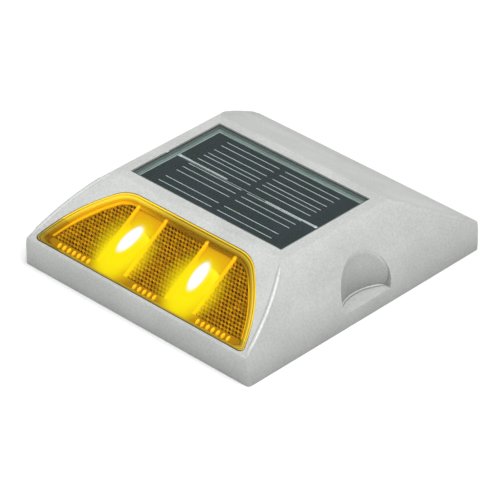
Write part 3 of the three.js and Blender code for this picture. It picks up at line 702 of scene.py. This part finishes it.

# The rim's section from its back round to its inner wall: how far in from the outline, the height,
# and the tones that it has on the level stretches and on the steep ones.
# The tones are painted light and shade: a light lip, a dark groove, and the ridge round the prisms lit
# on the steep stretches.
RIM_PROFILE = (
    (0, INSERT_BACK, 0.5, 0.5),
    (0, RIM_TOP - 0.14, 0.9, 0.9),
    (-LIP, RIM_TOP - 0.12, 0.9, 0.9),
    (-LIP, RIM_TOP - 0.04, 0.85, 0.95),
    (0, RIM_TOP, 0.75, 0.9),
    (0.3, RIM_TOP, 0.2, 0.3),
    (0.42, RIM_TOP - 0.3, 0.2, 0.3),
    (0.62, RIM_TOP - 0.3, 0.5, 0.7),
    (0.75, RIM_TOP, 0.5, 0.7),
    (1.0, RIM_TOP, 0.38, 0.5),
    (RIM_WIDTH - 0.1, RIM_TOP - 0.12, 0.36, 0.5),
    (RIM_WIDTH - 0.1, INSERT_TOP, 0.34, 0.5),
    (FLANGE - 0.8, INSERT_TOP, 0.2, 0.8),
    (FLANGE - 0.65, INSERT_TOP + 0.12, 0.22, 1.3),
    (FLANGE - 0.2, INSERT_TOP + 0.12, 0.3, 1.1),
    (FLANGE - 0.05, INSERT_TOP - 0.25, 0.3, 0.6),
    (FLANGE - 0.05, INSERT_BACK, 0.3, 0.3),
)


def lens_outline():
    """The cover's outline in the slope frame, counter-clockwise."""
    found = {}
    for vertex in frame["nodes"]["lens_cover"].data.vertices:
        point = (TO_SLOPE @ (vertex.co / MM)).xy
        found[(round(point.x, 1), round(point.y, 1))] = point
    return sorted(found.values(), key=lambda p: math.atan2(*(p - LENS_MIDDLE).yx))


def sides(polygon):
    """Each side of a polygon as its two ends."""
    return list(zip(polygon, polygon[1:] + polygon[:1]))


def inward_of(a, b):
    """The direction into a counter-clockwise polygon from its side a to b."""
    return Vector((a.y - b.y, b.x - a.x)).normalized()


def clip(polygon, point, inward):
    """The part of a polygon on the inward side of the line through point."""
    kept = []
    for a, b in sides(polygon):
        depth_a, depth_b = (a - point).dot(inward), (b - point).dot(inward)
        if depth_a >= 0:
            kept.append(a)
        if depth_a * depth_b < 0:
            kept.append(a.lerp(b, depth_a / (depth_a - depth_b)))
    return kept


def shrink(polygon, distance):
    """The lens outline with every side moved in by distance, and its foot by less."""
    smaller = list(polygon)
    for a, b in sides(polygon):
        inward = inward_of(a, b)
        share = FOOT_SHARE if inward.y > 0.9 else 1
        smaller = clip(smaller, a + inward * distance * share, inward)
    return smaller


def between(polygon, low=None, high=None, axis=0):
    """A polygon cut off below low and above high along one axis."""
    along = Vector((1, 0)) if axis == 0 else Vector((0, 1))
    if low is not None:
        polygon = clip(polygon, along * low, along)
    if high is not None:
        polygon = clip(polygon, along * high, -along)
    return polygon


def ray_angles(outline, step=1.6):
    """The directions from LENS_MIDDLE in which the rings have their points."""
    angles = []
    for a, b in sides(outline):
        pieces = max(1, round((b - a).length / step))
        for i in range(pieces):
            angles.append(math.atan2(*(a.lerp(b, i / pieces) - LENS_MIDDLE).yx))
    return angles


def outward(point):
    """The direction from the middle of the lens, flattened so that the foot and top stay straight."""
    away = point - LENS_MIDDLE
    return Vector((away.x / 3.2, away.y)).normalized()


def ring_of(polygon, angles):
    """The points of a convex polygon in the given directions from LENS_MIDDLE."""
    ring = []
    walls = [(a, inward_of(a, b)) for a, b in sides(polygon) if (b - a).length > 1e-4]
    for angle in angles:
        ray = Vector((math.cos(angle), math.sin(angle)))
        reach = min(
            (LENS_MIDDLE - a).dot(inward) / -ray.dot(inward)
            for a, inward in walls
            if ray.dot(inward) < -1e-6
        )
        ring.append(LENS_MIDDLE + ray * reach)
    return ring


def loft(bm, rings, capped=True):
    """Walls through rings of (points, height), each with as many points as the first."""
    loops = [[bm.verts.new((p.x, p.y, height)) for p in points] for points, height in rings]
    count = len(loops[0])
    faces = []
    for lower, upper in zip(loops, loops[1:]):
        for i in range(count):
            j = (i + 1) % count
            faces.append(bm.faces.new((lower[i], lower[j], upper[j], upper[i])))
    if capped:
        faces.append(bm.faces.new(list(reversed(loops[0]))))
        faces.append(bm.faces.new(loops[-1]))
    return faces


def prism_block(bm, polygon, tone, rng):
    """A block of that outline whose top is a field of hexagonal cube corners."""
    part = bmesh.new()
    part_tone = part.faces.layers.float.new("tone")
    xs, ys = [p.x for p in polygon], [p.y for p in polygon]
    column_pitch, row_pitch = math.sqrt(3) * PRISM_RADIUS, 1.5 * PRISM_RADIUS
    for j in range(math.floor(min(ys) / row_pitch) - 1, math.ceil(max(ys) / row_pitch) + 2):
        shift = 0.5 * (j % 2)
        for i in range(math.floor(min(xs) / column_pitch) - 1, math.ceil(max(xs) / column_pitch) + 2):
            centre = Vector(((i + shift) * column_pitch, j * row_pitch))
            cube_corner(part, centre, part_tone, rng)
    bmesh.ops.remove_doubles(part, verts=part.verts, dist=0.01)
    for a, b in sides(polygon):
        bmesh.ops.bisect_plane(
            part,
            geom=part.verts[:] + part.edges[:] + part.faces[:],
            plane_co=(a.x, a.y, 0),
            plane_no=(b.y - a.y, a.x - b.x, 0),
            clear_outer=True,
        )
    rim = [edge for edge in part.edges if edge.is_boundary]
    skirt = bmesh.ops.extrude_edge_only(part, edges=rim)["geom"]
    for item in skirt:
        if isinstance(item, bmesh.types.BMVert):
            item.co.z = INSERT_BACK
        elif isinstance(item, bmesh.types.BMFace):
            item[part_tone] = SIDE_TONE
    back = [edge for edge in part.edges if edge.is_boundary]
    bmesh.ops.contextual_create(part, geom=back)
    copy_into(bm, part)


def cube_corner(bm, centre, tone, rng):
    """One hexagon of three square facets that meet in its middle, the lowest point."""
    level = PRISM_RADIUS / math.sqrt(2)
    low = INSERT_TOP - 2 * level - 0.05
    middle = bm.verts.new((centre.x, centre.y, low))
    corners_round = []
    for k in range(6):
        angle = math.radians(60 * k + 30)
        x = centre.x + PRISM_RADIUS * math.cos(angle)
        y = centre.y + PRISM_RADIUS * math.sin(angle)
        corners_round.append(bm.verts.new((x, y, low + level * (1 + k % 2))))
    for facet, shade in enumerate(FACET_LIGHT_AND_SHADE):
        a, b, c = (corners_round[(2 * facet + n) % 6] for n in range(3))
        face = bm.faces.new((middle, a, b, c))
        face[tone] = shade + rng.uniform(-TONE_SPREAD, TONE_SPREAD)


def copy_into(bm, part):
    """Adds a finished bmesh to another and frees it."""
    mesh = bpy.data.meshes.new("part")
    part.to_mesh(mesh)
    part.free()
    bm.from_mesh(mesh)
    bpy.data.meshes.remove(mesh)


def block(bm, low, high):
    """A plain box, which a bevel modifier rounds later on most pieces."""
    size = Vector(high) - Vector(low)
    middle = (Vector(high) + Vector(low)) / 2
    matrix = Matrix.Translation(middle) @ Matrix.Diagonal((*size, 1))
    bmesh.ops.create_cube(bm, size=1, matrix=matrix)


def ellipsoid(bm, middle, radii, rings=10, around=16):
    """A closed ellipsoid, its points made in a fixed order so that every run is the same."""
    matrix = Matrix.Translation(middle) @ Matrix.Diagonal((*radii, 1))
    poles = [bm.verts.new(matrix @ Vector((0, 0, height))) for height in (-1, 1)]
    loops = []
    for i in range(1, rings):
        rise = math.pi * i / rings
        loop = []
        for k in range(around):
            turn = math.tau * k / around
            reach = math.sin(rise)
            point = Vector((reach * math.cos(turn), reach * math.sin(turn), -math.cos(rise)))
            loop.append(bm.verts.new(matrix @ point))
        loops.append(loop)
    faces = []
    for k in range(around):
        j = (k + 1) % around
        faces.append(bm.faces.new((poles[0], loops[0][j], loops[0][k])))
        for lower, upper in zip(loops, loops[1:]):
            faces.append(bm.faces.new((lower[k], lower[j], upper[j], upper[k])))
        faces.append(bm.faces.new((loops[-1][k], loops[-1][j], poles[1])))
    return faces


def place_on_slope(bm):
    """Takes a bmesh from the slope frame, in millimetres, to the row's frame, in metres."""
    bm.normal_update()
    bm.transform(Matrix.Scale(MM, 4) @ SLOPE_FRAME)


def make_lens():
    """The amber lens with all that shows through it."""
    outline = lens_outline()
    angles = ray_angles(outline)
    contour = between(shrink(outline, FLANGE), low=PRISM_BOTTOM, axis=1)
    make_skin(outline, angles)
    make_rim(outline, angles)
    make_prisms(contour)
    make_bead_band(outline)
    make_wells()


def make_skin(outline, angles):
    """The clear amber cover inside the rim."""
    edge = [(RIM_WIDTH, SKIN_BACK), (RIM_WIDTH, SKIN_TOP - 0.12), (RIM_WIDTH + 0.12, SKIN_TOP)]
    rings = [(ring_of(shrink(outline, inset), angles), height) for inset, height in edge]
    bm = bmesh.new()
    loft(bm, rings)
    place_on_slope(bm)
    skin = add_piece("lens_skin", bm, finishes["amber_lens"], ["lens_cover"])
    skin.data.shade_smooth()
    skin.modifiers.new("shade", "WEIGHTED_NORMAL").keep_sharp = True


def lip_share(point):
    """How much of the lip the rim has at a point: none along the foot of the lens."""
    return min(1, max(0, (point.y + 29) / 8))


def rim_tone(place, level_tone, steep_tone):
    """The rim's tone at a place: a painted glow makes it brighter near the left LED, and it is darker
    round the lower left corner.
    """
    steepness = min(1, abs(outward(place.xy).x) * 1.15) if place.y > -28 else 0.25
    shade = level_tone + (steep_tone - level_tone) * steepness**4
    if place.x < -35 and place.y < -22:
        shade *= 0.62
    glow = 1 - (place.xy - RIM_GLOW).length / RIM_GLOW_REACH
    return shade + 0.65 * max(0, glow)


def make_rim(outline, angles):
    """The rim round the cover, with a groove along it, and the ridge that bounds the prisms."""
    bm = bmesh.new()
    tone = bm.faces.layers.float.new("tone")
    rings = []
    for inset, height, _, _ in RIM_PROFILE:
        ring = ring_of(shrink(outline, inset), angles)
        if inset < 0:
            ring = [p - outward(p) * inset * lip_share(p) for p in ring]
        rings.append((ring, height))
    faces = loft(bm, rings + rings[:1], capped=False)
    for i, face in enumerate(faces):
        level_tone, steep_tone = RIM_PROFILE[i // len(angles)][2:]
        face[tone] = rim_tone(face.calc_center_median(), level_tone, steep_tone)
    bmesh.ops.remove_doubles(bm, verts=bm.verts, dist=0.001)
    place_on_slope(bm)
    rim = add_piece("lens_rim", bm, finishes["relief"])
    rim.data.shade_smooth()
    rim.modifiers.new("shade", "WEIGHTED_NORMAL").keep_sharp = True


def make_prisms(contour):
    """The three fields of cube corners: left of, between and right of the LEDs."""
    rng = random.Random(7)
    bm = bmesh.new()
    tone = bm.faces.layers.float.new("tone")
    outer = LED_X + WELL_HALF + RIB_WIDTH
    inner = LED_X - WELL_HALF - RIB_WIDTH
    prism_block(bm, between(contour, high=-outer), tone, rng)
    prism_block(bm, between(contour, low=-inner, high=inner), tone, rng)
    prism_block(bm, between(contour, low=outer), tone, rng)
    place_on_slope(bm)
    add_piece("prism_field", bm, finishes["relief"], ["reflector_insert"])


def make_bead_band(outline):
    """The plain strip along the foot of the lens and the groups of beads on it."""
    strip = between(shrink(outline, FLANGE * 0.9), high=PRISM_BOTTOM, axis=1)
    bm = bmesh.new()
    tone = bm.faces.layers.float.new("tone")
    loft(bm, [(strip, INSERT_BACK), (strip, INSERT_TOP - 0.12)])
    for face in bm.faces:
        face[tone] = STRIP_TONE
    for first, count in BEAD_GROUPS:
        for i in range(count):
            middle = (first + i * BEAD_PITCH, BEAD_Y, INSERT_TOP - 0.15)
            for face in ellipsoid(bm, middle, BEAD_RADII):
                face[tone] = BEAD_TONE
                face.smooth = True
    place_on_slope(bm)
    add_piece("bead_band", bm, finishes["relief"])


def make_wells():
    """The ribs beside each LED and the plain floor above it."""
    bm = bmesh.new()
    tone = bm.faces.layers.float.new("tone")
    for side in (-1, 1):
        for edge in (-1, 1):
            x = side * LED_X + edge * (WELL_HALF + RIB_WIDTH / 2)
            half = RIB_WIDTH / 2
            block(bm, (x - half, PRISM_BOTTOM, INSERT_BACK), (x + half, POCKET_TOP + 0.5, INSERT_TOP))
            ellipsoid(bm, (x, POCKET_TOP, INSERT_TOP - 0.1), (0.85, 1.0, 0.4))
        low = (side * LED_X - WELL_HALF, WELL_TOP, INSERT_BACK)
        high = (side * LED_X + WELL_HALF, POCKET_TOP, POCKET_FLOOR)
        block(bm, low, high)
    for face in bm.faces:
        on_rib = face.calc_center_median().z > POCKET_FLOOR + 0.1 or abs(face.normal.x) > 0.5
        face[tone] = RIB_TONE if on_rib else POCKET_TONE
    place_on_slope(bm)
    wells = add_piece("well_ribs", bm, finishes["relief"])
    round_edges(wells, 0.25, 3)


# ---- nodes that keep their CAD shape --------------------------------------------------------

NODE_EDGE = 0.25  # rounding, less on a node thinner than 2.5 mm


def soften_nodes():
    """Small rounded edges, by modifiers, on the CAD nodes that no piece stands in for."""
    for name, node in frame["nodes"].items():
        if name in REPLACED:
            continue
        low, high = corners(name)
        node.modifiers.new("weld", "WELD").merge_threshold = 0.01 * MM
        flat = node.modifiers.new("flat", "DECIMATE")
        flat.decimate_type = "DISSOLVE"
        flat.angle_limit = math.radians(1)
        rounding = node.modifiers.new("round", "BEVEL")
        rounding.width = min(NODE_EDGE, min(high - low) * 0.1) * MM
        rounding.segments = 2
        rounding.limit_method = "ANGLE"
        rounding.angle_limit = math.radians(35)


# ---- solar panel --------------------------------------------------------------------------

SPACER_WIDTH = 1.9
SINK = 0.02  # how far a print or a line reaches into what carries it
EDGE_LINE = 0.3
SOLDER_LENGTH = 5.6  # of each ribbon's wide end
FINGER_WIDTH = 0.22
FINGER_THICKNESS = 0.03
FINGER_SPAN = (1.3, 24.9)  # from the middle of the panel
REAR_FINGERS = (3.2, 6.0, 7.9, 10.7, 14.0, 16.7)  # distances from the line between the cells
FRONT_FINGERS = (1.0, 3.7, 6.5, 11.4, 14.6)


def make_fingers():
    """The printed lines that gather the current, in two blocks on each row of cells."""
    front_high = corners("solar_cell_front")[1]
    rear_low = corners("solar_cell_rear")[0]
    split = (front_high.y + rear_low.y) / 2
    places = [split + offset for offset in REAR_FINGERS] + [split - offset for offset in FRONT_FINGERS]
    bm = bmesh.new()
    for y in places:
        for side in (-1, 1):
            ends = sorted(side * x for x in FINGER_SPAN)
            low = (ends[0], y - FINGER_WIDTH / 2, front_high.z - SINK)
            block(bm, low, (ends[1], y + FINGER_WIDTH / 2, front_high.z + FINGER_THICKNESS))
    bm.transform(Matrix.Scale(MM, 4))
    paste = plain("finger_paste", (0.58, 0.63, 0.65), 0.5, 0.4)
    add_piece("cell_fingers", bm, paste)


def make_ribbons():
    """The two bright ribbons between the rows, each with a wide soldered end."""
    for side, name in ((-1, "left"), (1, "right")):
        node = "cell_ribbon_" + name
        low, high = corners(node)
        middle_y = (low.y + high.y) / 2
        inner, outer = (high.x, low.x) if side < 0 else (low.x, high.x)
        slim = (high.y - low.y) / 2 * 0.7
        shoulder = outer - side * SOLDER_LENGTH
        outline = [
            (outer, slim * 1.5),
            (shoulder, slim * 1.4),
            (shoulder - side * 0.5, slim),
            (inner, slim),
        ]
        points = outline + [(x, -y) for x, y in reversed(outline)]
        bm = bmesh.new()
        bottom = [bm.verts.new((x, middle_y + y, low.z)) for x, y in points]
        top = [bm.verts.new((x, middle_y + y, high.z)) for x, y in points]
        for i in range(len(points)):
            j = (i + 1) % len(points)
            bm.faces.new((bottom[i], bottom[j], top[j], top[i]))
        bm.faces.new(bottom)
        bm.faces.new(top)
        ellipsoid(bm, (outer - side * 0.9, middle_y, high.z), (0.9, 0.62, 0.1), rings=8)
        bmesh.ops.recalc_face_normals(bm, faces=bm.faces)
        bm.transform(Matrix.Scale(MM, 4))
        add_piece("ribbon_" + name, bm, finishes["tinned_ribbon"], [node])


def make_panel_edges():
    """The pale line along the inner edge of the spacer."""
    low, high = corners("panel_spacer")
    cell_top = corners("solar_cell_front")[1].z
    left, right = low.x + SPACER_WIDTH, high.x - SPACER_WIDTH
    front, rear = low.y + SPACER_WIDTH, high.y - SPACER_WIDTH
    bottom, top = cell_top - SINK, cell_top + 0.05
    bm = bmesh.new()
    block(bm, (left, front, bottom), (left + EDGE_LINE, rear, top))
    block(bm, (left + EDGE_LINE, rear - EDGE_LINE, bottom), (right, rear, top))
    bm.transform(Matrix.Scale(MM, 4))
    edges = add_piece("panel_edges", bm, finishes["panel_board"])
    round_edges(edges, 0.02, 2)


def make_sealant_drop():
    """A drop of sealant on the frame, left of the window."""
    low = corners("panel_spacer")[0]
    bm = bmesh.new()
    ellipsoid(bm, (low.x - 0.35, low.y + 16.7, HEIGHT - 0.3), (0.5, 0.75, 0.25))
    bm.transform(Matrix.Scale(MM, 4))
    drop = add_piece("sealant_drop", bm, finishes["white_plastic"])
    drop.data.shade_smooth()


def make_window():
    """The clear plate, polished on its faces and ground on its edges."""
    low, high = corners("panel_window")
    bm = bmesh.new()
    block(bm, low, high)
    bm.normal_update()
    for face in bm.faces:
        face.material_index = 0 if abs(face.normal.z) > 0.5 else 1
    bm.transform(Matrix.Scale(MM, 4))
    window = add_piece("window_plate", bm, finishes["clear_window"], ["panel_window"])
    ground = plain("ground_edge", (0.17, 0.215, 0.205), 0.6, 0.5)
    window.data.materials.append(ground)
    round_edges(window, 0.18, 2)


make_camera()
make_studio()
finishes = finish_nodes()
make_housing()
make_beads()
make_lens()
make_fingers()
make_ribbons()
make_panel_edges()
make_sealant_drop()
make_window()
soften_nodes()
